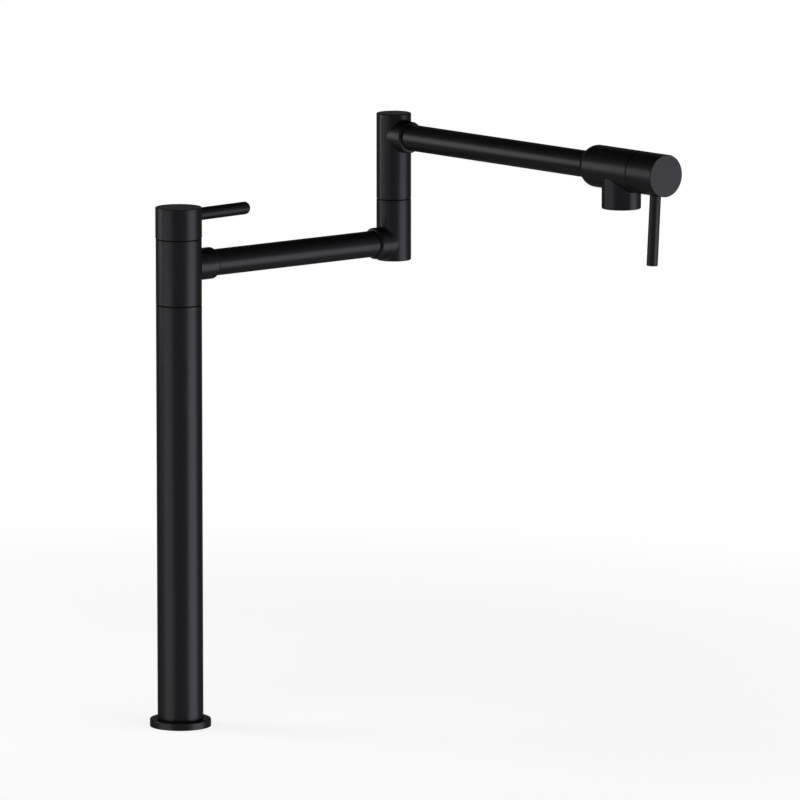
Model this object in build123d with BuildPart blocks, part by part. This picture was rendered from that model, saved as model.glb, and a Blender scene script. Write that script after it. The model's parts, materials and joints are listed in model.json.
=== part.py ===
from build123d import *
import os
from math import cos, radians, sin, sqrt

# Deck-mounted pot filler: a tall column, two jointed arms and a spout head, with a valve at each end.
# The origin is on the column's axis at deck level, +Z is up, and all sizes are in millimetres.
# At rest the lower arm lies along +X and the upper arm along -Y.

# Clearances
STATIC_FIT = 0.05          # on the radius, where a round piece is pushed into a hole
RUNNING_FIT = 0.05         # on the radius, where a piece turns in its bore
SEAM = 0.6                 # joint line left between turning pieces
GLIDE_PLAY = 0.05          # axial play over a glide ring, a clip or a thrust washer
GLIDE_INSET = 0.5          # a glide ring stays this far inside the seam that it fills
LOOSE_FIT = 0.3            # on the radius, around pieces that turn inside a wider one

# Column
COLUMN_DIAMETER = 38.0
RISER_HEIGHT = 352.6       # deck to the top of the riser tube
RISER_WALL = 1.5
RISER_END_EDGE = 0.3
FLANGE_DIAMETER = 50.8
FLANGE_THICKNESS = 6.4
FLANGE_LIP = 2.0           # ledge under the riser tube
FLANGE_TOP_EDGE = 1.2
GASKET_WIDTH = 3.2
GASKET_THICKNESS = 1.2
GASKET_INSET = 1.6         # from the flange's rim
ADAPTER_HEIGHT = 28.0
ADAPTER_NOSE_WALL = 1.7
SHANK_THREAD_DIAMETER = 26.4
SHANK_THREAD_DEPTH = 18.0
HOSE_THREAD_DIAMETER = 9.0
SUPPLY_PIPE_DIAMETER = 12.0
SUPPLY_PIPE_WALL = 1.0
PIPE_SOCKET_DEPTH = 5.0

# Swivel on top of the column
SPIGOT_DIAMETER = 25.0
SPIGOT_PLUG_HEIGHT = 20.0
SPIGOT_BORE_DEPTH = 18.1
SPIGOT_END_GAP = 0.5
WATERWAY_DIAMETER = 10.0
VALVE_WEB = 3.0            # wall between a valve's seat and the waterway behind it
SWIVEL_EDGE = 0.3
RING_CORD = 2.0            # O-ring section
RING_GROOVE_PLAY = 0.2     # axial room on each side of an O-ring
RING_LAND = 1.6            # metal left between grooves
SET_SCREW_DIAMETER = 4.0
SET_SCREW_KEY = 2.0
SET_SCREW_KEY_DEPTH = 2.0
SET_SCREW_SINK = 0.8       # screw end below the surface
SCREW_GROOVE_DEPTH = 2.0
SCREW_GROOVE_PLAY = 0.35

# Arms and their collars
LOWER_ARM_REACH = 231.4    # column axis to elbow axis
ARM_TUBE_DIAMETER = 22.0
ARM_TUBE_WALL = 1.2
ARM_PORT_DIAMETER = 16.0
PORT_SILL = 2.0            # seat of the top valve to the lowest point of the arm's port
COLLAR_DIAMETER = 26.4
COLLAR_EDGE = 1.9
SWIVEL_COLLAR_LENGTH = 15.6
ELBOW_COLLAR_LENGTH = 8.5
SADDLE_FILLET = 1.0        # where a collar or the outlet grows out of a round body
TUBE_SEAT_DEPTH = 13.0     # in the swivel body and the spout head
ELBOW_SEAT_DEPTH = 9.5     # in the elbow's collars, clear of the water chamber
TUBE_SEAL_THICKNESS = 1.5

# Elbow
ELBOW_DIAMETER = 29.1
ELBOW_DROP = 15.3          # lower arm axis to the elbow's underside
ELBOW_RISE = 36.2          # lower arm axis to the elbow's joint line
UPPER_ARM_RISE = 53.1      # joint line to the upper arm axis
ELBOW_CROWN = 18.9         # upper arm axis to the elbow's top
ELBOW_EDGE = 0.9
ELBOW_TOP_WALL = 9.0
ELBOW_SPIGOT_DIAMETER = 20.0
ELBOW_SPIGOT_BORE = 12.0
ELBOW_BORE_LENGTH = 20.0
ELBOW_THREAD_DIAMETER = 18.0
ELBOW_THREAD_LENGTH = 14.0
ELBOW_CHAMBER_DIAMETER = 24.0
ELBOW_PLUG_STEP = 0.6      # plug wider than the chamber, on the radius
ELBOW_PLUG_HEIGHT = 7.0
ELBOW_PLUG_KEY = 8.0
ELBOW_PLUG_KEY_DEPTH = 3.0
THRUST_WASHER_THICKNESS = 1.2
CIRCLIP_THICKNESS = 1.0
CIRCLIP_DEPTH = 1.2        # how far a circlip sits in its groove
CIRCLIP_ARC = 320.0
SPIGOT_TAIL = 1.4          # spigot left below the circlip

# Spout head and outlet
SPOUT_REACH = 287.3        # elbow axis to outlet axis
OUTLET_TO_SHOULDER = 37.3  # outlet axis back to the start of the head's rounded shoulder
OUTLET_TO_MOUTH = 23.6     # outlet axis forward to the valve's mouth
HEAD_DIAMETER = 34.7
SHOULDER_LENGTH = 8.8
SHOULDER_LIP = 0.3         # head's end face around the tube
OUTLET_DIAMETER = 32.2
OUTLET_DROP = 31.9         # head axis to the outlet's rim
OUTLET_BORE_DIAMETER = 13.0
OUTLET_EDGE = 0.9
AERATOR_DIAMETER = 24.0
AERATOR_HEIGHT = 11.5
AERATOR_WALL = 1.4
AERATOR_LIP = 1.4
AERATOR_WASHER_THICKNESS = 1.5
AERATOR_WASHER_WIDTH = 3.0
STREAM_HOLE_DIAMETER = 1.8
STREAM_HOLE_PITCH = 2.8
STREAM_HOLE_ROWS = 5

# Quarter-turn ceramic valve, the same in the column and in the spout head
CARTRIDGE_DEPTH = 33.0     # valve mouth to valve seat
CARTRIDGE_BORE_DIAMETER = 23.0
CARTRIDGE_SKIRT_DIAMETER = 18.0
CARTRIDGE_SKIRT_WALL = 1.4
CARTRIDGE_THREAD_LENGTH = 10.0
CARTRIDGE_HEX = 17.0
CARTRIDGE_HEX_DEPTH = 2.0
CARTRIDGE_HEAD_RISE = 3.0
SEAT_HOLE_DIAMETER = 10.0
SEAT_SEAL_HEIGHT = 2.5
SEAT_SEAL_PROUD = 1.5
SEAT_SEAL_WIDTH = 1.3
DISC_THICKNESS = 3.0
DISC_PORT_DIAMETER = 3.8
DISC_PORT_OFFSET = 4.2
WINDOW_WIDTH = 8.0
WINDOW_HEIGHT = 6.0
WINDOW_SPACE = 7.5         # moving disc to the neck above it
SPINDLE_DIAMETER = 8.0
SPINDLE_COLLAR_DIAMETER = 12.4
SPINDLE_COLLAR_THICKNESS = 2.4
SPINDLE_RING_CORD = 1.5
FOOT_WIDTH = 3.4
FOOT_RISE = 1.2
FOOT_SLOT_DEPTH = 1.2
FOOT_PLAY = 0.1
CLIP_THICKNESS = 0.8
CLIP_WIDTH = 2.6
CLIP_DEPTH = 0.8
DRIVE_SQUARE = 5.4
DRIVE_LENGTH = 8.0
DRIVE_RISE = 2.2           # cartridge head to the floor of the handle's cavity
DRIVE_END_GAP = 0.3

# Handles
TOP_HUB_OVERHANG = 0.25    # hub wider than the column, on the radius
TOP_HUB_HEIGHT = 25.8
TOP_LEVER_RISE = 17.7      # hub's lower face to the lever's axis
TOP_LEVER_DIAMETER = 10.6
TOP_LEVER_REACH = 79.0
TOP_LEVER_TIP = 3.4
TOP_LEVER_ANGLE = 5.0      # from the lower arm, about the column's axis
SPOUT_HUB_LENGTH = 30.4
SPOUT_LEVER_RISE = 18.5
SPOUT_LEVER_DIAMETER = 9.2
SPOUT_LEVER_REACH = 74.4
SPOUT_LEVER_TIP = 0.8
SPOUT_LEVER_LEAN = 3.3     # from straight down, towards -X
HUB_EDGE = 0.5
HUB_CAVITY_ROOM = 1.4      # around the cartridge's hexagon
LEVER_SEAT = 0.6           # spot face under a lever, below the hub's round surface
LEVER_STUD_DIAMETER = 5.0
LEVER_STUD_LENGTH = 9.0
HANDLE_SCREW_LENGTH = 8.0
HANDLE_SCREW_RISE = 4.0    # floor of the cavity to the set screw's axis

# Worked out: radii
column_radius = COLUMN_DIAMETER / 2
riser_bore = column_radius - RISER_WALL
plug_radius = riser_bore - STATIC_FIT
tube_radius = ARM_TUBE_DIAMETER / 2
tube_hole = tube_radius + STATIC_FIT
collar_radius = COLLAR_DIAMETER / 2
port_radius = ARM_PORT_DIAMETER / 2
spigot_radius = SPIGOT_DIAMETER / 2
spigot_bore = spigot_radius + RUNNING_FIT
screw_radius = SET_SCREW_DIAMETER / 2
elbow_radius = ELBOW_DIAMETER / 2
elbow_spigot_radius = ELBOW_SPIGOT_DIAMETER / 2
elbow_bore = elbow_spigot_radius + RUNNING_FIT
elbow_chamber = ELBOW_CHAMBER_DIAMETER / 2
elbow_thread_radius = ELBOW_THREAD_DIAMETER / 2
elbow_plug_hole = elbow_chamber + ELBOW_PLUG_STEP
head_radius = HEAD_DIAMETER / 2
outlet_radius = OUTLET_DIAMETER / 2
aerator_radius = AERATOR_DIAMETER / 2
cartridge_bore = CARTRIDGE_BORE_DIAMETER / 2
skirt_radius = CARTRIDGE_SKIRT_DIAMETER / 2
skirt_bore = skirt_radius - CARTRIDGE_SKIRT_WALL
disc_radius = skirt_bore - LOOSE_FIT
spindle_radius = SPINDLE_DIAMETER / 2
neck_bore = spindle_radius + RUNNING_FIT
top_hub_radius = column_radius + TOP_HUB_OVERHANG

# Worked out: heights and places along the arms
swivel_bottom = RISER_HEIGHT + SEAM
spigot_bore_top = swivel_bottom + SPIGOT_BORE_DEPTH
top_seat = spigot_bore_top + VALVE_WEB
top_mouth = top_seat + CARTRIDGE_DEPTH
lower_arm_height = top_seat + PORT_SILL + port_radius
elbow_bottom = lower_arm_height - ELBOW_DROP
elbow_seam = lower_arm_height + ELBOW_RISE
upper_body_bottom = elbow_seam + SEAM
upper_arm_height = upper_body_bottom + UPPER_ARM_RISE
elbow_top = upper_arm_height + ELBOW_CROWN
swivel_collar_end = column_radius + SWIVEL_COLLAR_LENGTH
elbow_collar_end = elbow_radius + ELBOW_COLLAR_LENGTH
swivel_pocket = swivel_collar_end - TUBE_SEAT_DEPTH
elbow_pocket = elbow_collar_end - ELBOW_SEAT_DEPTH
head_start = SPOUT_REACH - OUTLET_TO_SHOULDER
head_mouth = SPOUT_REACH + OUTLET_TO_MOUTH
head_pocket = head_start + TUBE_SEAT_DEPTH
head_seat = head_mouth - CARTRIDGE_DEPTH
outlet_rim = upper_arm_height - OUTLET_DROP
aerator_ceiling = outlet_rim + AERATOR_HEIGHT + AERATOR_WASHER_THICKNESS

# Worked out: heights inside a valve, from its mouth and positive towards the handle
seat = -CARTRIDGE_DEPTH
seal_top = seat + SEAT_SEAL_HEIGHT
fixed_disc_top = seal_top + DISC_THICKNESS
moving_disc_top = fixed_disc_top + DISC_THICKNESS
foot_bottom = moving_disc_top - FOOT_SLOT_DEPTH + FOOT_PLAY
foot_top = moving_disc_top + FOOT_RISE
neck_bottom = moving_disc_top + WINDOW_SPACE
collar_bottom = -CARTRIDGE_HEX_DEPTH - CARTRIDGE_THREAD_LENGTH
cavity_floor = CARTRIDGE_HEAD_RISE + DRIVE_RISE
drive_top = cavity_floor + DRIVE_LENGTH
clip_bottom = CARTRIDGE_HEAD_RISE + GLIDE_PLAY
spindle_ring_height = (neck_bottom + CARTRIDGE_HEAD_RISE) / 2

# Planes along the arms and valves: each one's Z runs along the axis that it is named for
lower_arm = Plane((0, 0, lower_arm_height), x_dir=(0, 0, 1), z_dir=(1, 0, 0))
lower_arm_back = Plane((LOWER_ARM_REACH, 0, lower_arm_height), x_dir=(0, 0, 1), z_dir=(-1, 0, 0))
elbow = Plane((LOWER_ARM_REACH, 0, 0), x_dir=(1, 0, 0), z_dir=(0, 0, 1))
upper_arm = Plane((LOWER_ARM_REACH, 0, upper_arm_height), x_dir=(0, 0, 1), z_dir=(0, -1, 0))
outlet = Plane((LOWER_ARM_REACH, -SPOUT_REACH, outlet_rim), x_dir=(1, 0, 0), z_dir=(0, 0, 1))
top_lever_turn = radians(TOP_LEVER_ANGLE)
top_valve = Plane(
    (0, 0, top_mouth), x_dir=(cos(top_lever_turn), sin(top_lever_turn), 0), z_dir=(0, 0, 1)
)
spout_lever_turn = radians(SPOUT_LEVER_LEAN)
spout_valve = Plane(
    (LOWER_ARM_REACH, -head_mouth, upper_arm_height),
    x_dir=(-sin(spout_lever_turn), 0, -cos(spout_lever_turn)),
    z_dir=(0, -1, 0),
)

os.makedirs("parts", exist_ok=True)


def finish(piece, name):
    """Names a finished piece and writes it to its own file."""
    piece.part.label = name
    export_step(piece.part, f"parts/{name}.step")


def section_of(plane):
    """The plane through a plane's axis: radii run across it and heights run up it."""
    return Plane(plane.origin, x_dir=plane.x_dir, z_dir=-plane.y_dir)


def axis_of(plane):
    return Axis(plane.origin, plane.z_dir)


def across(plane, height):
    """The plane across a valve's axis at a height, facing the way that its lever points."""
    return Plane(plane.origin + plane.z_dir * height, x_dir=plane.z_dir, z_dir=plane.x_dir)


def ring_section(inner, outer, low, high, mode=Mode.ADD):
    """Half section of a ring, drawn in the sketch in hand."""
    with Locations(((inner + outer) / 2, (low + high) / 2)):
        Rectangle(outer - inner, high - low, mode=mode)


def cord_section(outer, cord, height):
    """Section of an O-ring that reaches out to a radius, drawn in the sketch in hand."""
    with Locations((outer - cord / 2, height)):
        Circle(cord / 2)


def ring_groove(outer, cord, height):
    """Section of the groove that holds such an O-ring, cut from the sketch in hand."""
    half = cord / 2 + RING_GROOVE_PLAY
    floor = outer - cord - STATIC_FIT
    ring_section(floor, outer + cord, height - half, height + half, mode=Mode.SUBTRACT)


def saddle_of(piece):
    """The curve where the round boss that was just added meets the round body."""
    return piece.edges(Select.LAST).filter_by(GeomType.BSPLINE)


def set_screw(plane, length):
    """Grub screw along a plane's axis: its tip is on the plane, its key socket at the far end."""
    with BuildPart() as screw:
        with BuildSketch(plane):
            Circle(screw_radius)
        extrude(amount=length)
        with BuildSketch(plane.offset(length)):
            RegularPolygon(SET_SCREW_KEY / 2, 6, major_radius=False)
        extrude(amount=-SET_SCREW_KEY_DEPTH, mode=Mode.SUBTRACT)
    return screw


def glide_ring(plane, inner, outer):
    """Thin plastic ring that fills a joint line."""
    with BuildPart() as ring:
        with BuildSketch(section_of(plane)):
            ring_section(inner, outer - GLIDE_INSET, 0, SEAM - GLIDE_PLAY)
        revolve(axis=axis_of(plane))
    return ring


def arm_tube(plane, start, end):
    """Arm tube along a plane's axis."""
    with BuildPart() as tube:
        with BuildSketch(plane.offset(start)):
            Circle(tube_radius)
            Circle(tube_radius - ARM_TUBE_WALL, mode=Mode.SUBTRACT)
        extrude(amount=end - start)
    return tube


def tube_seals(plane, near_pocket, far_pocket):
    """Flat seals at both ends of an arm tube, between the tube and the floors of its pockets."""
    with BuildPart() as seals:
        with BuildSketch(section_of(plane)):
            inner = tube_radius - ARM_TUBE_WALL
            ring_section(inner, tube_radius, near_pocket, near_pocket + TUBE_SEAL_THICKNESS)
            ring_section(inner, tube_radius, far_pocket - TUBE_SEAL_THICKNESS, far_pocket)
        revolve(axis=axis_of(plane))
    return seals


# Base flange with a ledge for the riser tube and a groove for its gasket
gasket_outer = FLANGE_DIAMETER / 2 - GASKET_INSET
gasket_inner = gasket_outer - GASKET_WIDTH
nose_radius = SHANK_THREAD_DIAMETER / 2 + ADAPTER_NOSE_WALL

with BuildPart() as base_flange:
    with BuildSketch(Plane.XZ):
        ring_section(nose_radius + STATIC_FIT, FLANGE_DIAMETER / 2, 0, FLANGE_LIP)
        ring_section(column_radius + STATIC_FIT, FLANGE_DIAMETER / 2, 0, FLANGE_THICKNESS)
        ring_section(gasket_inner, gasket_outer, 0, GASKET_THICKNESS, mode=Mode.SUBTRACT)
    revolve(axis=Axis.Z)
    rim = base_flange.edges().group_by(Axis.Z)[-1].sort_by(SortBy.RADIUS)[-1]
    fillet(rim, FLANGE_TOP_EDGE)
finish(base_flange, "base_flange")

with BuildPart() as base_gasket:
    with BuildSketch(Plane.XZ):
        ring_section(gasket_inner, gasket_outer, 0, GASKET_THICKNESS)
    revolve(axis=Axis.Z)
finish(base_gasket, "base_gasket")

# Adapter in the foot of the riser tube: shank thread below, hose thread above it, pipe socket on top
adapter_socket = ADAPTER_HEIGHT - PIPE_SOCKET_DEPTH
pipe_radius = SUPPLY_PIPE_DIAMETER / 2

with BuildPart() as base_adapter:
    with BuildSketch(Plane.XZ):
        ring_section(SHANK_THREAD_DIAMETER / 2, nose_radius, 0, FLANGE_LIP)
        ring_section(SHANK_THREAD_DIAMETER / 2, plug_radius, FLANGE_LIP, SHANK_THREAD_DEPTH)
        ring_section(HOSE_THREAD_DIAMETER / 2, plug_radius, SHANK_THREAD_DEPTH, adapter_socket)
        ring_section(pipe_radius + STATIC_FIT, plug_radius, adapter_socket, ADAPTER_HEIGHT)
    revolve(axis=Axis.Z)
finish(base_adapter, "base_adapter")

with BuildPart() as riser_tube:
    with BuildSketch(Plane.XZ):
        ring_section(riser_bore, column_radius, FLANGE_LIP, RISER_HEIGHT)
    revolve(axis=Axis.Z)
    rim = riser_tube.edges().group_by(Axis.Z)[-1].sort_by(SortBy.RADIUS)[-1]
    chamfer(rim, RISER_END_EDGE)
finish(riser_tube, "riser_tube")

# Spigot that plugs the top of the riser tube and carries the swivel body
spigot_plug_bottom = RISER_HEIGHT - SPIGOT_PLUG_HEIGHT
spigot_socket = spigot_plug_bottom + PIPE_SOCKET_DEPTH
spigot_top = spigot_bore_top - SPIGOT_END_GAP
swivel_screw_height = swivel_bottom + SPIGOT_BORE_DEPTH / 2
screw_groove_half = screw_radius + SCREW_GROOVE_PLAY
ring_groove_half = RING_CORD / 2 + RING_GROOVE_PLAY
spigot_ring_offset = screw_groove_half + RING_LAND + ring_groove_half
spigot_ring_heights = (
    swivel_screw_height - spigot_ring_offset,
    swivel_screw_height + spigot_ring_offset,
)
screw_groove_floor = spigot_radius - SCREW_GROOVE_DEPTH

with BuildPart() as supply_pipe:
    with BuildSketch(Plane.XZ):
        ring_section(pipe_radius - SUPPLY_PIPE_WALL, pipe_radius, adapter_socket, spigot_socket)
    revolve(axis=Axis.Z)
finish(supply_pipe, "supply_pipe")

with BuildPart() as swivel_spigot:
    with BuildSketch(Plane.XZ):
        ring_section(pipe_radius + STATIC_FIT, plug_radius, spigot_plug_bottom, spigot_socket)
        ring_section(WATERWAY_DIAMETER / 2, plug_radius, spigot_socket, RISER_HEIGHT)
        ring_section(WATERWAY_DIAMETER / 2, spigot_radius, RISER_HEIGHT, spigot_top)
        ring_section(
            screw_groove_floor,
            spigot_bore,
            swivel_screw_height - screw_groove_half,
            swivel_screw_height + screw_groove_half,
            mode=Mode.SUBTRACT,
        )
        for height in spigot_ring_heights:
            ring_groove(spigot_radius, RING_CORD, height)
    revolve(axis=Axis.Z)
finish(swivel_spigot, "swivel_spigot")

with BuildPart() as spigot_o_rings:
    with BuildSketch(Plane.XZ):
        for height in spigot_ring_heights:
            cord_section(spigot_radius, RING_CORD, height)
    revolve(axis=Axis.Z)
finish(spigot_o_rings, "spigot_o_rings")

swivel_glide_ring = glide_ring(
    Plane.XY.offset(RISER_HEIGHT), spigot_radius + LOOSE_FIT, column_radius
)
finish(swivel_glide_ring, "swivel_glide_ring")

# Swivel body: turns on the spigot, holds the top valve and feeds the lower arm
swivel_screw_plane = Plane((0, 0, swivel_screw_height), x_dir=(0, 0, 1), z_dir=(0, 1, 0))

with BuildPart() as swivel_body:
    with BuildSketch(Plane.XY.offset(swivel_bottom)):
        Circle(column_radius)
    extrude(amount=top_mouth - swivel_bottom)
    chamfer(swivel_body.edges().group_by(Axis.Z)[0], SWIVEL_EDGE)
    chamfer(swivel_body.edges().group_by(Axis.Z)[-1], SWIVEL_EDGE)
    with BuildSketch(lower_arm):
        Circle(collar_radius)
    extrude(amount=swivel_collar_end)
    fillet(saddle_of(swivel_body), SADDLE_FILLET)
    fillet(swivel_body.edges().sort_by(Axis.X)[-1], COLLAR_EDGE)
    with BuildSketch(Plane.XY.offset(swivel_bottom)):
        Circle(spigot_bore)
    extrude(amount=SPIGOT_BORE_DEPTH, mode=Mode.SUBTRACT)
    with BuildSketch(Plane.XY.offset(spigot_bore_top)):
        Circle(SEAT_HOLE_DIAMETER / 2)
    extrude(amount=VALVE_WEB, mode=Mode.SUBTRACT)
    with BuildSketch(Plane.XY.offset(top_seat)):
        Circle(cartridge_bore)
    extrude(amount=CARTRIDGE_DEPTH, mode=Mode.SUBTRACT)
    with BuildSketch(lower_arm):
        Circle(port_radius)
    extrude(amount=swivel_pocket, mode=Mode.SUBTRACT)
    with BuildSketch(lower_arm.offset(swivel_pocket)):
        Circle(tube_hole)
    extrude(amount=TUBE_SEAT_DEPTH, mode=Mode.SUBTRACT)
    with BuildSketch(swivel_screw_plane):
        Circle(screw_radius + STATIC_FIT)
    extrude(amount=COLUMN_DIAMETER, mode=Mode.SUBTRACT)
finish(swivel_body, "swivel_body")

swivel_screw_tip = screw_groove_floor + SCREW_GROOVE_PLAY
swivel_set_screw = set_screw(
    swivel_screw_plane.offset(swivel_screw_tip), column_radius - SET_SCREW_SINK - swivel_screw_tip
)
finish(swivel_set_screw, "swivel_set_screw")

# Lower arm tube between the swivel body and the elbow
lower_far_pocket = LOWER_ARM_REACH - elbow_pocket
lower_arm_tube = arm_tube(
    lower_arm, swivel_pocket + TUBE_SEAL_THICKNESS, lower_far_pocket - TUBE_SEAL_THICKNESS
)
finish(lower_arm_tube, "lower_arm_tube")
finish(tube_seals(lower_arm, swivel_pocket, lower_far_pocket), "lower_arm_tube_seals")

# Elbow lower body: bearing for the elbow spigot above, water chamber behind the arm, plug below
elbow_land = elbow_seam - ELBOW_BORE_LENGTH
elbow_plug_top = elbow_bottom + ELBOW_PLUG_HEIGHT

with BuildPart() as elbow_lower_body:
    with BuildSketch(elbow.offset(elbow_bottom)):
        Circle(elbow_radius)
    extrude(amount=elbow_seam - elbow_bottom)
    fillet(elbow_lower_body.edges().group_by(Axis.Z)[0], ELBOW_EDGE)
    chamfer(elbow_lower_body.edges().group_by(Axis.Z)[-1], SWIVEL_EDGE)
    with BuildSketch(lower_arm_back):
        Circle(collar_radius)
    extrude(amount=elbow_collar_end)
    fillet(saddle_of(elbow_lower_body), SADDLE_FILLET)
    fillet(elbow_lower_body.edges().sort_by(Axis.X)[0], COLLAR_EDGE)
    with BuildSketch(elbow.offset(elbow_bottom)):
        Circle(elbow_plug_hole)
    extrude(amount=ELBOW_PLUG_HEIGHT, mode=Mode.SUBTRACT)
    with BuildSketch(elbow.offset(elbow_plug_top)):
        Circle(elbow_chamber)
    extrude(amount=elbow_land - elbow_plug_top, mode=Mode.SUBTRACT)
    with BuildSketch(elbow.offset(elbow_land)):
        Circle(elbow_bore)
    extrude(amount=ELBOW_BORE_LENGTH, mode=Mode.SUBTRACT)
    with BuildSketch(lower_arm_back):
        Circle(port_radius)
    extrude(amount=elbow_pocket, mode=Mode.SUBTRACT)
    with BuildSketch(lower_arm_back.offset(elbow_pocket)):
        Circle(tube_hole)
    extrude(amount=ELBOW_SEAT_DEPTH, mode=Mode.SUBTRACT)
finish(elbow_lower_body, "elbow_lower_body")

# Plug under the elbow, with its O-ring and a hexagon for a key
plug_rim = elbow_plug_hole - STATIC_FIT
plug_ring_height = elbow_plug_top - RING_LAND - ring_groove_half

with BuildPart() as elbow_plug:
    with BuildSketch(section_of(elbow)):
        ring_section(0, plug_rim, elbow_bottom, elbow_plug_top)
        ring_groove(plug_rim, RING_CORD, plug_ring_height)
    revolve(axis=axis_of(elbow))
    with BuildSketch(elbow.offset(elbow_bottom)):
        RegularPolygon(ELBOW_PLUG_KEY / 2, 6, major_radius=False)
    extrude(amount=ELBOW_PLUG_KEY_DEPTH, mode=Mode.SUBTRACT)
finish(elbow_plug, "elbow_plug")

with BuildPart() as elbow_plug_o_ring:
    with BuildSketch(section_of(elbow)):
        cord_section(plug_rim, RING_CORD, plug_ring_height)
    revolve(axis=axis_of(elbow))
finish(elbow_plug_o_ring, "elbow_plug_o_ring")

elbow_glide_ring = glide_ring(
    elbow.offset(elbow_seam), elbow_spigot_radius + LOOSE_FIT, elbow_radius
)
finish(elbow_glide_ring, "elbow_glide_ring")

# Elbow upper body: turns with the upper arm, bored from below for the spigot's thread and the water
with BuildPart() as elbow_upper_body:
    with BuildSketch(elbow.offset(upper_body_bottom)):
        Circle(elbow_radius)
    extrude(amount=elbow_top - upper_body_bottom)
    chamfer(elbow_upper_body.edges().group_by(Axis.Z)[0], SWIVEL_EDGE)
    fillet(elbow_upper_body.edges().group_by(Axis.Z)[-1], ELBOW_EDGE)
    with BuildSketch(upper_arm):
        Circle(collar_radius)
    extrude(amount=elbow_collar_end)
    fillet(saddle_of(elbow_upper_body), SADDLE_FILLET)
    fillet(elbow_upper_body.edges().sort_by(Axis.Y)[0], COLLAR_EDGE)
    with BuildSketch(elbow.offset(upper_body_bottom)):
        Circle(elbow_thread_radius + STATIC_FIT)
    extrude(amount=elbow_top - ELBOW_TOP_WALL - upper_body_bottom, mode=Mode.SUBTRACT)
    with BuildSketch(upper_arm):
        Circle(port_radius)
    extrude(amount=elbow_pocket, mode=Mode.SUBTRACT)
    with BuildSketch(upper_arm.offset(elbow_pocket)):
        Circle(tube_hole)
    extrude(amount=ELBOW_SEAT_DEPTH, mode=Mode.SUBTRACT)
finish(elbow_upper_body, "elbow_upper_body")

# Spigot screwed into the upper body: turns in the lower body and is held up by a washer and a circlip
thrust_top = elbow_land - GLIDE_PLAY
circlip_top = thrust_top - THRUST_WASHER_THICKNESS
circlip_bottom = circlip_top - CIRCLIP_THICKNESS
circlip_floor = elbow_spigot_radius - CIRCLIP_DEPTH
thrust_outer = elbow_chamber - LOOSE_FIT
elbow_ring_heights = (
    elbow_land + RING_LAND + ring_groove_half,
    elbow_seam - RING_LAND - ring_groove_half,
)

with BuildPart() as elbow_spigot:
    with BuildSketch(section_of(elbow)):
        ring_section(
            ELBOW_SPIGOT_BORE / 2, elbow_spigot_radius, circlip_bottom - SPIGOT_TAIL, upper_body_bottom
        )
        ring_section(
            ELBOW_SPIGOT_BORE / 2,
            elbow_thread_radius,
            upper_body_bottom,
            upper_body_bottom + ELBOW_THREAD_LENGTH,
        )
        ring_section(
            circlip_floor,
            elbow_bore,
            circlip_bottom - GLIDE_PLAY,
            circlip_top + GLIDE_PLAY,
            mode=Mode.SUBTRACT,
        )
        for height in elbow_ring_heights:
            ring_groove(elbow_spigot_radius, RING_CORD, height)
    revolve(axis=axis_of(elbow))
finish(elbow_spigot, "elbow_spigot")

with BuildPart() as elbow_o_rings:
    with BuildSketch(section_of(elbow)):
        for height in elbow_ring_heights:
            cord_section(elbow_spigot_radius, RING_CORD, height)
    revolve(axis=axis_of(elbow))
finish(elbow_o_rings, "elbow_o_rings")

with BuildPart() as elbow_thrust_washer:
    with BuildSketch(section_of(elbow)):
        ring_section(elbow_bore, thrust_outer, circlip_top, thrust_top)
    revolve(axis=axis_of(elbow))
finish(elbow_thrust_washer, "elbow_thrust_washer")

with BuildPart() as elbow_circlip:
    with BuildSketch(section_of(elbow)):
        ring_section(circlip_floor + STATIC_FIT, thrust_outer, circlip_bottom, circlip_top)
    revolve(axis=axis_of(elbow), revolution_arc=CIRCLIP_ARC)
finish(elbow_circlip, "elbow_circlip")

# Upper arm tube between the elbow and the spout head
upper_arm_tube = arm_tube(
    upper_arm, elbow_pocket + TUBE_SEAL_THICKNESS, head_pocket - TUBE_SEAL_THICKNESS
)
finish(upper_arm_tube, "upper_arm_tube")
finish(tube_seals(upper_arm, elbow_pocket, head_pocket), "upper_arm_tube_seals")

# Spout head: rounded shoulder over the tube, valve chamber in the other end, outlet below
shoulder_end = head_start + SHOULDER_LENGTH
shoulder_root = tube_hole + SHOULDER_LIP

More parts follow.
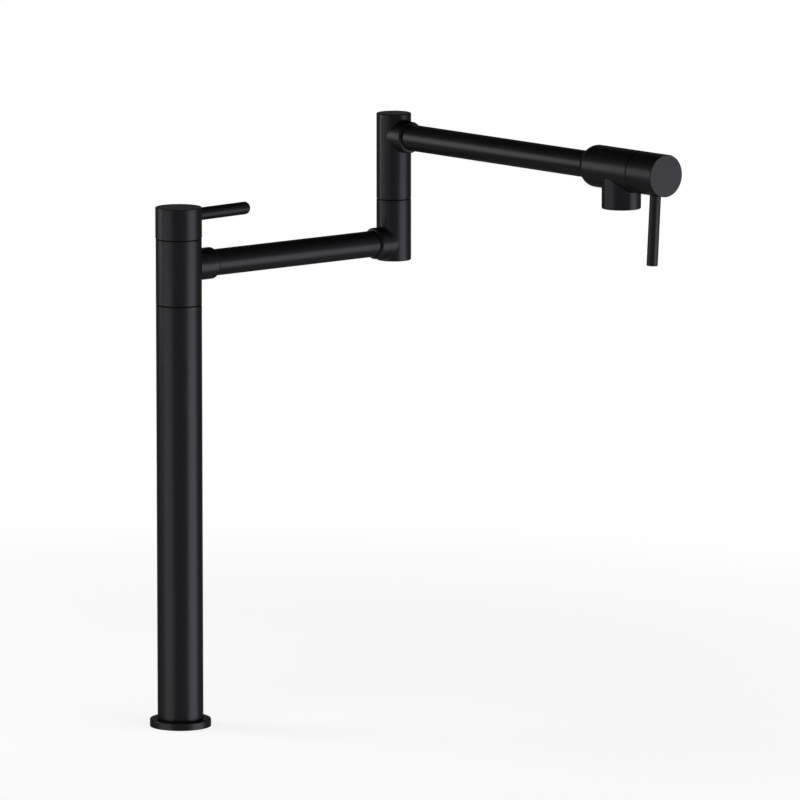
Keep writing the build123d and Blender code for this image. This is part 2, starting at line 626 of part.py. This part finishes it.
with BuildPart() as spout_head:
    with BuildSketch(section_of(upper_arm)):
        with BuildLine():
            Line((0, head_start), (shoulder_root, head_start))
            TangentArc((head_radius, shoulder_end), (shoulder_root, head_start), tangent=(0, -1))
            Polyline(
                (head_radius, shoulder_end), (head_radius, head_mouth), (0, head_mouth), (0, head_start)
            )
        make_face()
    revolve(axis=axis_of(upper_arm))
    chamfer(spout_head.edges().sort_by(Axis.Y)[0], SWIVEL_EDGE)
    with BuildSketch(outlet):
        Circle(outlet_radius)
    extrude(amount=OUTLET_DROP)
    fillet(saddle_of(spout_head), SADDLE_FILLET)
    fillet(spout_head.edges().sort_by(Axis.Z)[0], OUTLET_EDGE)
    with BuildSketch(upper_arm.offset(head_start)):
        Circle(tube_hole)
    extrude(amount=TUBE_SEAT_DEPTH, mode=Mode.SUBTRACT)
    with BuildSketch(upper_arm.offset(head_pocket)):
        Circle(port_radius)
    extrude(amount=head_seat - VALVE_WEB - head_pocket, mode=Mode.SUBTRACT)
    with BuildSketch(upper_arm.offset(head_seat - VALVE_WEB)):
        Circle(SEAT_HOLE_DIAMETER / 2)
    extrude(amount=VALVE_WEB, mode=Mode.SUBTRACT)
    with BuildSketch(upper_arm.offset(head_seat)):
        Circle(cartridge_bore)
    extrude(amount=CARTRIDGE_DEPTH, mode=Mode.SUBTRACT)
    with BuildSketch(outlet):
        Circle(OUTLET_BORE_DIAMETER / 2)
    extrude(amount=OUTLET_DROP, mode=Mode.SUBTRACT)
    with BuildSketch(outlet):
        Circle(aerator_radius)
    extrude(amount=aerator_ceiling - outlet_rim, mode=Mode.SUBTRACT)
finish(spout_head, "spout_head")

# Aerator in the outlet: screwed housing, plastic insert with stream holes, washer on top
housing_radius = aerator_radius - STATIC_FIT
insert_radius = housing_radius - AERATOR_WALL - STATIC_FIT
lip_radius = insert_radius - AERATOR_LIP

with BuildPart() as aerator_housing:
    with BuildSketch(section_of(outlet)):
        ring_section(lip_radius, housing_radius, 0, AERATOR_LIP)
        ring_section(housing_radius - AERATOR_WALL, housing_radius, 0, AERATOR_HEIGHT)
    revolve(axis=axis_of(outlet))
finish(aerator_housing, "aerator_housing")

with BuildPart() as aerator_insert:
    with BuildSketch(outlet.offset(AERATOR_LIP)):
        Circle(insert_radius)
    extrude(amount=AERATOR_HEIGHT - AERATOR_LIP)
    with BuildSketch(outlet.offset(AERATOR_LIP)):
        with HexLocations(STREAM_HOLE_PITCH / 2, STREAM_HOLE_ROWS, STREAM_HOLE_ROWS):
            Circle(STREAM_HOLE_DIAMETER / 2)
    extrude(amount=AERATOR_HEIGHT - AERATOR_LIP, mode=Mode.SUBTRACT)
finish(aerator_insert, "aerator_insert")

with BuildPart() as aerator_washer:
    with BuildSketch(section_of(outlet)):
        ring_section(
            housing_radius - AERATOR_WASHER_WIDTH,
            housing_radius,
            AERATOR_HEIGHT,
            AERATOR_HEIGHT + AERATOR_WASHER_THICKNESS,
        )
    revolve(axis=axis_of(outlet))
finish(aerator_washer, "aerator_washer")


# Quarter-turn valve: each piece is drawn on the valve's own plane, which is at its mouth
def cartridge_body(plane):
    """Brass shell: skirt over the discs, side windows, screwed collar, hexagon and spindle neck."""
    with BuildPart() as body:
        with BuildSketch(section_of(plane)):
            ring_section(skirt_bore, skirt_radius, seat + SEAT_SEAL_PROUD, neck_bottom)
            ring_section(neck_bore, skirt_radius, neck_bottom, -CARTRIDGE_HEX_DEPTH)
            ring_section(
                skirt_bore, cartridge_bore - STATIC_FIT, collar_bottom, -CARTRIDGE_HEX_DEPTH
            )
        revolve(axis=axis_of(plane))
        with BuildSketch(plane.offset(-CARTRIDGE_HEX_DEPTH)):
            RegularPolygon(CARTRIDGE_HEX / 2, 6, major_radius=False)
            Circle(neck_bore, mode=Mode.SUBTRACT)
        extrude(amount=CARTRIDGE_HEX_DEPTH + CARTRIDGE_HEAD_RISE)
        with BuildSketch(across(plane, neck_bottom - WINDOW_HEIGHT / 2)):
            Rectangle(WINDOW_HEIGHT, WINDOW_WIDTH)
        extrude(amount=cartridge_bore, both=True, mode=Mode.SUBTRACT)
    return body


def cartridge_o_ring(plane):
    """Ring under the screwed collar, between the skirt and the chamber's wall."""
    cord = cartridge_bore - skirt_radius - 2 * STATIC_FIT
    with BuildPart() as ring:
        with BuildSketch(section_of(plane)):
            cord_section(cartridge_bore - STATIC_FIT, cord, collar_bottom - cord / 2 - STATIC_FIT)
        revolve(axis=axis_of(plane))
    return ring


def seat_seal(plane):
    """Rubber ring between the valve's seat and the fixed disc."""
    with BuildPart() as seal:
        with BuildSketch(section_of(plane)):
            ring_section(disc_radius - SEAT_SEAL_WIDTH, disc_radius, seat, seal_top)
        revolve(axis=axis_of(plane))
    return seal


def fixed_disc(plane):
    """Ceramic disc that stays in the shell, with two ports."""
    with BuildPart() as disc:
        with BuildSketch(plane.offset(seal_top)):
            Circle(disc_radius)
            with Locations((-DISC_PORT_OFFSET, 0), (DISC_PORT_OFFSET, 0)):
                Circle(DISC_PORT_DIAMETER / 2, mode=Mode.SUBTRACT)
        extrude(amount=DISC_THICKNESS)
    return disc


def moving_disc(plane):
    """Ceramic disc that the spindle turns: its ports stand across the fixed ones when shut."""
    with BuildPart() as disc:
        with BuildSketch(plane.offset(fixed_disc_top)):
            Circle(disc_radius)
            with Locations((0, -DISC_PORT_OFFSET), (0, DISC_PORT_OFFSET)):
                Circle(DISC_PORT_DIAMETER / 2, mode=Mode.SUBTRACT)
        extrude(amount=DISC_THICKNESS)
        with BuildSketch(plane.offset(moving_disc_top)):
            Rectangle(2 * disc_radius, FOOT_WIDTH + 2 * FOOT_PLAY)
        extrude(amount=-FOOT_SLOT_DEPTH, mode=Mode.SUBTRACT)
    return disc


def spindle(plane):
    """Spindle: foot bar in the moving disc's slot, thrust collar, sealed shaft and square drive."""
    collar_top = neck_bottom - GLIDE_PLAY
    square_bottom = cavity_floor - DRIVE_END_GAP
    with BuildPart() as shaft:
        with BuildSketch(section_of(plane)):
            ring_section(0, spindle_radius, foot_top, square_bottom)
            ring_section(
                0, SPINDLE_COLLAR_DIAMETER / 2, collar_top - SPINDLE_COLLAR_THICKNESS, collar_top
            )
            ring_groove(spindle_radius, SPINDLE_RING_CORD, spindle_ring_height)
            ring_section(
                spindle_radius - CLIP_DEPTH,
                neck_bore,
                clip_bottom - GLIDE_PLAY,
                clip_bottom + CLIP_THICKNESS + GLIDE_PLAY,
                mode=Mode.SUBTRACT,
            )
        revolve(axis=axis_of(plane))
        with BuildSketch(plane.offset(foot_bottom)):
            Rectangle(2 * disc_radius - 2 * FOOT_PLAY, FOOT_WIDTH)
        extrude(amount=foot_top - foot_bottom)
        with BuildSketch(plane.offset(square_bottom)):
            Rectangle(DRIVE_SQUARE, DRIVE_SQUARE)
        extrude(amount=drive_top - square_bottom)
    return shaft


def spindle_o_ring(plane):
    with BuildPart() as ring:
        with BuildSketch(section_of(plane)):
            cord_section(spindle_radius, SPINDLE_RING_CORD, spindle_ring_height)
        revolve(axis=axis_of(plane))
    return ring


def spindle_clip(plane):
    """Spring clip that keeps the spindle from dropping out of the shell."""
    inner = spindle_radius - CLIP_DEPTH + STATIC_FIT
    with BuildPart() as clip:
        with BuildSketch(section_of(plane)):
            ring_section(inner, inner + CLIP_WIDTH, clip_bottom, clip_bottom + CLIP_THICKNESS)
        revolve(axis=axis_of(plane), revolution_arc=CIRCLIP_ARC)
    return clip


# Handles: a round hub on the spindle's square and a lever screwed into its side
cavity_radius = CARTRIDGE_HEX / sqrt(3) + HUB_CAVITY_ROOM
screw_rise = cavity_floor + HANDLE_SCREW_RISE
stud_radius = LEVER_STUD_DIAMETER / 2


def lever_seat(hub_radius, lever_radius):
    """How far from the hub's axis a lever's end sits in its spot face."""
    return sqrt(hub_radius**2 - (lever_radius + STATIC_FIT) ** 2) - LEVER_SEAT


def handle_hub(plane, hub_radius, height, lever_rise, lever_radius):
    lever_plane = across(plane, SEAM + lever_rise)
    seat_reach = lever_seat(hub_radius, lever_radius)
    with BuildPart() as hub:
        with BuildSketch(plane.offset(SEAM)):
            Circle(hub_radius)
        extrude(amount=height)
        chamfer(hub.edges().sort_by(axis_of(plane))[0], SWIVEL_EDGE)
        fillet(hub.edges().sort_by(axis_of(plane))[-1], HUB_EDGE)
        with BuildSketch(plane.offset(SEAM)):
            Circle(cavity_radius)
        extrude(amount=cavity_floor - SEAM, mode=Mode.SUBTRACT)
        with BuildSketch(plane.offset(cavity_floor)):
            Rectangle(DRIVE_SQUARE + 2 * STATIC_FIT, DRIVE_SQUARE + 2 * STATIC_FIT)
        extrude(amount=DRIVE_LENGTH + DRIVE_END_GAP, mode=Mode.SUBTRACT)
        with BuildSketch(across(plane, screw_rise)):
            Circle(screw_radius + STATIC_FIT)
        extrude(amount=2 * hub_radius, mode=Mode.SUBTRACT)
        with BuildSketch(lever_plane.offset(seat_reach - LEVER_STUD_LENGTH - DRIVE_END_GAP)):
            Circle(stud_radius + STATIC_FIT)
        extrude(amount=2 * hub_radius, mode=Mode.SUBTRACT)
        with BuildSketch(lever_plane.offset(seat_reach)):
            Circle(lever_radius + STATIC_FIT)
        extrude(amount=2 * hub_radius, mode=Mode.SUBTRACT)
    return hub


def handle_lever(plane, hub_radius, lever_rise, lever_radius, reach, tip):
    lever_plane = across(plane, SEAM + lever_rise)
    seat_reach = lever_seat(hub_radius, lever_radius)
    with BuildPart() as rod:
        with BuildSketch(lever_plane.offset(seat_reach - LEVER_STUD_LENGTH)):
            Circle(stud_radius)
        extrude(amount=LEVER_STUD_LENGTH)
        with BuildSketch(lever_plane.offset(seat_reach)):
            Circle(lever_radius)
        extrude(amount=reach - seat_reach)
        fillet(rod.edges().sort_by(axis_of(lever_plane))[-1], tip)
    return rod


for valve, plane in (("top", top_valve), ("spout", spout_valve)):
    finish(cartridge_body(plane), f"{valve}_cartridge_body")
    finish(cartridge_o_ring(plane), f"{valve}_cartridge_o_ring")
    finish(seat_seal(plane), f"{valve}_seat_seal")
    finish(fixed_disc(plane), f"{valve}_fixed_disc")
    finish(moving_disc(plane), f"{valve}_moving_disc")
    finish(spindle(plane), f"{valve}_spindle")
    finish(spindle_o_ring(plane), f"{valve}_spindle_o_ring")
    finish(spindle_clip(plane), f"{valve}_spindle_clip")
    screw_plane = across(plane, screw_rise).offset(DRIVE_SQUARE / 2 + STATIC_FIT)
    finish(set_screw(screw_plane, HANDLE_SCREW_LENGTH), f"{valve}_handle_set_screw")

top_lever_radius = TOP_LEVER_DIAMETER / 2
finish(glide_ring(top_valve, cartridge_bore + LOOSE_FIT, column_radius), "top_glide_ring")
finish(
    handle_hub(top_valve, top_hub_radius, TOP_HUB_HEIGHT, TOP_LEVER_RISE, top_lever_radius),
    "top_handle_hub",
)
finish(
    handle_lever(
        top_valve, top_hub_radius, TOP_LEVER_RISE, top_lever_radius, TOP_LEVER_REACH, TOP_LEVER_TIP
    ),
    "top_handle_lever",
)

spout_lever_radius = SPOUT_LEVER_DIAMETER / 2
finish(glide_ring(spout_valve, cartridge_bore + LOOSE_FIT, head_radius), "spout_glide_ring")
finish(
    handle_hub(spout_valve, head_radius, SPOUT_HUB_LENGTH, SPOUT_LEVER_RISE, spout_lever_radius),
    "spout_handle_hub",
)
finish(
    handle_lever(
        spout_valve,
        head_radius,
        SPOUT_LEVER_RISE,
        spout_lever_radius,
        SPOUT_LEVER_REACH,
        SPOUT_LEVER_TIP,
    ),
    "spout_handle_lever",
)
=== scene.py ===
"""Looks of a deck-mounted pot filler: a matte black coat on the outer pieces, brass, steel, rubber, ceramic
and plastic where the works show, on a pale floor in soft light from both sides."""
import json
import math

import bmesh
import bpy
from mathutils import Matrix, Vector

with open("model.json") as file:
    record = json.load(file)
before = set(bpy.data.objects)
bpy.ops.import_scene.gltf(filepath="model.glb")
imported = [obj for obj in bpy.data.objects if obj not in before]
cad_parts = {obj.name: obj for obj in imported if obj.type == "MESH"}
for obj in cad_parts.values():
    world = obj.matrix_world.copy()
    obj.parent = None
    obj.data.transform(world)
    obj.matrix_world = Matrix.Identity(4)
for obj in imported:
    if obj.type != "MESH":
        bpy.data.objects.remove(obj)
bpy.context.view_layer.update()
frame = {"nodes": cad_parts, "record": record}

# Camera: a long lens that looks down a little. Lengths are in metres and angles in degrees.
LENS = 405.0                     # millimetres, like the sensor's width
SENSOR = 36.0
CAMERA_AIM = Vector((0.18853, -0.05886, 0.26095))
CAMERA_DISTANCE = 7.5
CAMERA_TURN = 40.18              # way that it looks, from +Y towards +X
CAMERA_PITCH = 9.005             # height above level, as seen from the aim

# Directions on the floor, as the camera sees them
TO_RIGHT = Vector((math.cos(math.radians(CAMERA_TURN)), -math.sin(math.radians(CAMERA_TURN)), 0))
TO_CAMERA = Vector((-math.sin(math.radians(CAMERA_TURN)), -math.cos(math.radians(CAMERA_TURN)), 0))
CAMERA_SIDE = 90.0               # turn from the picture's right to the camera

WHITE = (1.0, 1.0, 1.0, 1.0)


class Value:
    """A shader socket that takes part in sums: each sum adds a Math node to its finish."""

    def __init__(self, finish, socket):
        self.finish = finish
        self.socket = socket

    def sum_with(self, operation, first, second):
        return self.finish.add("ShaderNodeMath", {0: first, 1: second}, operation=operation)

    def __add__(self, other):
        return self.sum_with("ADD", self, other)

    def __radd__(self, other):
        return self.sum_with("ADD", other, self)

    def __sub__(self, other):
        return self.sum_with("SUBTRACT", self, other)

    def __rsub__(self, other):
        return self.sum_with("SUBTRACT", other, self)

    def __mul__(self, other):
        return self.sum_with("MULTIPLY", self, other)

    def __rmul__(self, other):
        return self.sum_with("MULTIPLY", other, self)


class Finish:
    """The node tree of one material, or of the surroundings."""

    def __init__(self, owner):
        owner.use_nodes = True
        self.owner = owner
        self.tree = owner.node_tree
        self.tree.nodes.clear()

    def add(self, kind, sockets=None, out=0, **settings):
        """Adds a node, sets it up, then fills its sockets, and gives the output that is asked for."""
        node = self.tree.nodes.new(kind)
        for name, setting in settings.items():
            setattr(node, name, setting)
        for name, value in (sockets or {}).items():
            if isinstance(value, Value):
                self.tree.links.new(value.socket, node.inputs[name])
            else:
                node.inputs[name].default_value = value
        return Value(self, node.outputs[out]) if node.outputs else node

    def place(self):
        return self.add("ShaderNodeTexCoord", out="Object")

    def noise(self, place, grain, detail=2.0):
        """Soft noise from 0 to 1 whose spots are about a grain across, in metres."""
        return self.add("ShaderNodeTexNoise", {"Vector": place, "Scale": 1.0 / grain, "Detail": detail})

    def colour_between(self, share, first, second):
        sockets = {0: share, 6: (*first, 1.0), 7: (*second, 1.0)}
        return self.add("ShaderNodeMix", sockets, out=2, data_type="RGBA")

    def range_of(self, value, low, high, to_low, to_high):
        """Goes smoothly from one number to another while a value goes from low to high."""
        sockets = {"Value": value, "From Min": low, "From Max": high, "To Min": to_low, "To Max": to_high}
        return self.add("ShaderNodeMapRange", sockets, interpolation_type="SMOOTHSTEP")

    def bump(self, height, depth):
        """Small relief of that depth in metres."""
        return self.add("ShaderNodeBump", {"Distance": depth, "Height": height})

    def seen(self):
        """1 where the camera sees it, straight or in metal and glass, and 0 for the light that it sheds."""
        camera = self.add("ShaderNodeLightPath", out="Is Camera Ray")
        glossy = self.add("ShaderNodeLightPath", out="Is Glossy Ray")
        through = self.add("ShaderNodeLightPath", out="Is Transmission Ray")
        return camera + glossy + through

    def principled(self, sockets):
        return self.add("ShaderNodeBsdfPrincipled", sockets)

    def shader_between(self, share, first, second):
        return self.add("ShaderNodeMixShader", {0: share, 1: first, 2: second})

    def output(self, shader, kind="ShaderNodeOutputMaterial"):
        self.add(kind, {"Surface": shader})
        return self.owner


def new_finish(name):
    return Finish(bpy.data.materials.new(name))


# Matte black coat: a fine even grain over faint clouds, and less gloss where it is seen along the surface
COAT_DARK = (0.0027, 0.0027, 0.003)
COAT_LIGHT = (0.0053, 0.0053, 0.0058)
COAT_GRAIN = 0.0007
COAT_GRAIN_DETAIL = 3.0
COAT_GRAIN_SHARE = 0.7           # of the change in colour, with the rest left to the clouds
COAT_GRAIN_ROUGHNESS = 0.1
COAT_CLOUD = 0.018
COAT_CLOUD_SHARE = 0.3
COAT_CLOUD_ROUGHNESS = 0.05
COAT_ROUGHNESS = 0.32
COAT_GLOSS = 0.092
COAT_TINT = (0.88, 0.89, 1.0, 1.0)
COAT_RELIEF = 0.000036
DULL_FROM = 0.1                  # 0 where the surface faces the eye, 1 where it is seen edge on
DULL_TO = 0.62
DULL_SHARE = 0.88


def black_coat():
    coat = new_finish("black_coat")
    place = coat.place()
    grain = coat.noise(place, COAT_GRAIN, COAT_GRAIN_DETAIL)
    cloud = coat.noise(place, COAT_CLOUD)
    mottle = COAT_GRAIN_SHARE * grain + COAT_CLOUD_SHARE * cloud
    colour = coat.colour_between(mottle, COAT_DARK, COAT_LIGHT)
    roughness = COAT_ROUGHNESS + COAT_GRAIN_ROUGHNESS * (grain - 0.5) + COAT_CLOUD_ROUGHNESS * (cloud - 0.5)
    relief = coat.bump(grain, COAT_RELIEF)
    glossy = coat.principled({"Base Color": colour, "Roughness": roughness, "Normal": relief,
                              "Specular IOR Level": COAT_GLOSS, "Specular Tint": COAT_TINT})
    flat = coat.principled({"Base Color": colour, "Roughness": 1.0, "Normal": relief,
                            "Specular IOR Level": 0.0})
    along = coat.add("ShaderNodeLayerWeight", {"Blend": 0.5}, out="Facing")
    dulled = coat.range_of(along, DULL_FROM, DULL_TO, 0.0, DULL_SHARE)
    return coat.output(coat.shader_between(dulled, glossy, flat))


# Turned brass: the fine rings that a lathe leaves, crossed by slight tarnish
BRASS_PALE = (0.72, 0.53, 0.27)
BRASS_DEEP = (0.58, 0.40, 0.18)
BRASS_ROUGHNESS = 0.24
BRASS_RINGS = {"Scale": 1200.0, "Distortion": 1.5, "Detail": 2.0}
BRASS_RING_ROUGHNESS = 0.06
BRASS_RING_RELIEF = 0.000008
TARNISH_SPOT = 0.006
TARNISH_DETAIL = 4.0
TARNISH_ROUGHNESS = 0.14


def turned_brass():
    brass = new_finish("turned_brass")
    place = brass.place()
    rings = brass.add("ShaderNodeTexWave", {"Vector": place, **BRASS_RINGS}, out="Fac",
                      wave_type="BANDS", bands_direction="Z")
    tarnish = brass.noise(place, TARNISH_SPOT, TARNISH_DETAIL)
    colour = brass.colour_between(tarnish, BRASS_PALE, BRASS_DEEP)
    roughness = BRASS_ROUGHNESS + TARNISH_ROUGHNESS * tarnish + BRASS_RING_ROUGHNESS * rings
    relief = brass.bump(rings, BRASS_RING_RELIEF)
    return brass.output(brass.principled({"Base Color": colour, "Metallic": 1.0, "Roughness": roughness,
                                          "Normal": relief}))


# Plain steel: fine drawn lines
STEEL_DARK = (0.46, 0.46, 0.47)
STEEL_LIGHT = (0.60, 0.60, 0.61)
STEEL_ROUGHNESS = 0.24
STEEL_LINE = 0.00025
STEEL_LINE_DETAIL = 3.0
STEEL_LINE_STRETCH = (1.0, 1.0, 0.08)
STEEL_LINE_ROUGHNESS = 0.18
STEEL_LINE_RELIEF = 0.000004


def brushed_steel():
    steel = new_finish("screw_steel")
    drawn = steel.add("ShaderNodeMapping", {"Vector": steel.place(), "Scale": STEEL_LINE_STRETCH})
    lines = steel.noise(drawn, STEEL_LINE, STEEL_LINE_DETAIL)
    colour = steel.colour_between(lines, STEEL_DARK, STEEL_LIGHT)
    roughness = STEEL_ROUGHNESS + STEEL_LINE_ROUGHNESS * lines
    relief = steel.bump(lines, STEEL_LINE_RELIEF)
    return steel.output(steel.principled({"Base Color": colour, "Metallic": 1.0, "Roughness": roughness,
                                          "Normal": relief}))


# Rubber, plastics and ceramic: a fine grain, and a broad one that is so many times its size
FINE_DETAIL = 3.0
BROAD_GRAIN = 12.0


def grained_finish(name, dark, light, grain, roughness, spread, relief, sockets):
    """A plain material with a grain in its colour, its gloss and its surface."""
    made = new_finish(name)
    place = made.place()
    fine = made.noise(place, grain, FINE_DETAIL)
    broad = made.noise(place, grain * BROAD_GRAIN)
    colour = made.colour_between(0.5 * fine + 0.5 * broad, dark, light)
    gloss = roughness + spread * (fine - 0.5) + spread * (broad - 0.5)
    return made.output(made.principled({"Base Color": colour, "Roughness": gloss,
                                        "Normal": made.bump(fine, relief), **sockets}))


finishes = {
    "black_coat": black_coat(),
    "turned_brass": turned_brass(),
    "black_rubber": grained_finish(
        "black_rubber", dark=(0.012, 0.012, 0.012), light=(0.026, 0.026, 0.026), grain=0.0004,
        roughness=0.72, spread=0.10, relief=0.000012, sockets={"Specular IOR Level": 0.3},
    ),
    "glide_plastic": grained_finish(
        "glide_plastic", dark=(0.0008, 0.0008, 0.0009), light=(0.0016, 0.0016, 0.0017), grain=0.0005,
        roughness=0.8, spread=0.08, relief=0.000005, sockets={"Specular IOR Level": 0.02},
    ),
    "aerator_plastic": grained_finish(
        "aerator_plastic", dark=(0.48, 0.49, 0.50), light=(0.60, 0.61, 0.62), grain=0.0005,
        roughness=0.42, spread=0.10, relief=0.000006, sockets={},
    ),
    "disc_ceramic": grained_finish(
        "disc_ceramic", dark=(0.80, 0.79, 0.75), light=(0.88, 0.87, 0.83), grain=0.0003,
        roughness=0.16, spread=0.05, relief=0.000002, sockets={"Coat Weight": 0.3},
    ),
    "screw_steel": brushed_steel(),
}
for subpart in frame["record"]["subparts"]:
    node = frame["nodes"][subpart["node"]]
    node.data.materials.clear()
    node.data.materials.append(finishes[subpart["material_slot"]])

# Floor: a round pale table top that fades into the white round about, and is clear when seen from below
FLOOR_RADIUS = 1.1
FLOOR_SIDES = 96
FLOOR_CLEAR = 0.4                # radius at which the fading starts
FLOOR_GLOW = 0.78                # share of plain white in what is seen
FLOOR_DARK = (0.86, 0.86, 0.86)
FLOOR_LIGHT = (0.90, 0.90, 0.90)
FLOOR_SPECKLE = 0.002
FLOOR_ROUGHNESS = 0.9
FLOOR_GLOSS = 0.1


def floor_finish():
    pale = new_finish("pale_floor")
    place = pale.place()
    colour = pale.colour_between(pale.noise(place, FLOOR_SPECKLE), FLOOR_DARK, FLOOR_LIGHT)
    matte = pale.principled({"Base Color": colour, "Roughness": FLOOR_ROUGHNESS,
                             "Specular IOR Level": FLOOR_GLOSS})
    glow = pale.add("ShaderNodeEmission", {"Color": WHITE, "Strength": 1.0})
    lit = pale.shader_between(FLOOR_GLOW * pale.seen(), matte, glow)
    reach = pale.add("ShaderNodeVectorMath", {0: place}, out="Value", operation="LENGTH")
    far = pale.range_of(reach, FLOOR_CLEAR, FLOOR_RADIUS, 0.0, 1.0)
    below = pale.add("ShaderNodeNewGeometry", out="Backfacing")
    gone = 1.0 - (1.0 - far) * (1.0 - below)
    clear = pale.add("ShaderNodeBsdfTransparent")
    return pale.output(pale.shader_between(gone, lit, clear))


def round_floor():
    mesh = bpy.data.meshes.new("floor")
    shape = bmesh.new()
    bmesh.ops.create_circle(shape, cap_ends=True, segments=FLOOR_SIDES, radius=FLOOR_RADIUS)
    shape.to_mesh(mesh)
    shape.free()
    mesh.materials.append(floor_finish())
    floor = bpy.data.objects.new("floor", mesh)
    bpy.context.scene.collection.objects.link(floor)
    floor.visible_glossy = False
    floor.visible_shadow = False
    return floor


# Surroundings: white all round and below, dark overhead. Heights are on a sphere of radius 1.
WHITE_UP_TO = 0.26
DARK_FROM = 0.71
SKY_DARK = 0.05
FILL = 0.4                       # light that they shed, against the white that is seen


def surroundings():
    world = bpy.data.worlds.new("studio")
    bpy.context.scene.world = world
    studio = Finish(world)
    direction = studio.add("ShaderNodeTexCoord", out="Generated")
    height = studio.add("ShaderNodeSeparateXYZ", {0: direction}, out="Z")
    shade = studio.range_of(height, WHITE_UP_TO, DARK_FROM, 1.0, SKY_DARK)
    backdrop = studio.add("ShaderNodeBackground", {"Color": WHITE, "Strength": shade})
    fill = studio.add("ShaderNodeBackground", {"Color": WHITE, "Strength": FILL * shade})
    studio.output(studio.shader_between(studio.seen(), fill, backdrop), "ShaderNodeOutputWorld")


def aimed(name, data, target, turn, tilt, distance):
    """A lamp or camera that faces a target. Turn goes from the picture's right towards the camera, and tilt
    is above level."""
    turn, tilt = math.radians(turn), math.radians(tilt)
    level = TO_RIGHT * math.cos(turn) + TO_CAMERA * math.sin(turn)
    outwards = level * math.cos(tilt) + Vector((0, 0, math.sin(tilt)))
    made = bpy.data.objects.new(name, data)
    made.location = target + outwards * distance
    made.rotation_euler = outwards.to_track_quat("Z", "Y").to_euler()
    bpy.context.scene.collection.objects.link(made)
    return made


# Lamps: flat boxes of soft light, all as far from the object's middle, with their power in watts
OBJECT_MIDDLE = Vector((0.1, -0.12, 0.25))
LAMP_DISTANCE = 1.3
LAMP_WHITE = (1.0, 1.0, 1.0)
LAMP_COOL = (0.95, 0.96, 1.0)
LAMP_WARM = (1.0, 1.0, 0.97)


def softbox(name, turn, tilt, width, height, power, colour):
    lamp = bpy.data.lights.new(name, "AREA")
    lamp.shape = "RECTANGLE"
    lamp.size = width
    lamp.size_y = height
    lamp.energy = power
    lamp.color = colour
    box = aimed(name, lamp, OBJECT_MIDDLE, turn, tilt, LAMP_DISTANCE)
    box.visible_camera = False
    return box


def keep_light_on(receiver, box):
    """Lets a lamp light one object alone, on which the others still cast their shadows."""
    lit = bpy.data.collections.new("lit_by_" + box.name)
    lit.objects.link(receiver)
    box.light_linking.receiver_collection = lit


def camera():
    lens = bpy.data.cameras.new("camera")
    lens.sensor_width = SENSOR
    lens.lens = LENS
    bpy.context.scene.camera = aimed("camera", lens, CAMERA_AIM, CAMERA_SIDE, CAMERA_PITCH, CAMERA_DISTANCE)


floor = round_floor()
surroundings()
softbox("right_softbox", turn=20, tilt=-15, width=1.3, height=1.0, power=32.5, colour=LAMP_COOL)
softbox("left_softbox", turn=152, tilt=-14, width=1.1, height=0.8, power=11.0, colour=LAMP_WARM)
softbox("left_rear_softbox", turn=195, tilt=12, width=0.5, height=0.65, power=10.2, colour=LAMP_WARM)
ceiling = softbox("ceiling_softbox", turn=90, tilt=84, width=0.7, height=0.7, power=12.0, colour=LAMP_WHITE)
keep_light_on(floor, ceiling)
camera()

bpy.context.scene.view_settings.view_transform = "Standard"
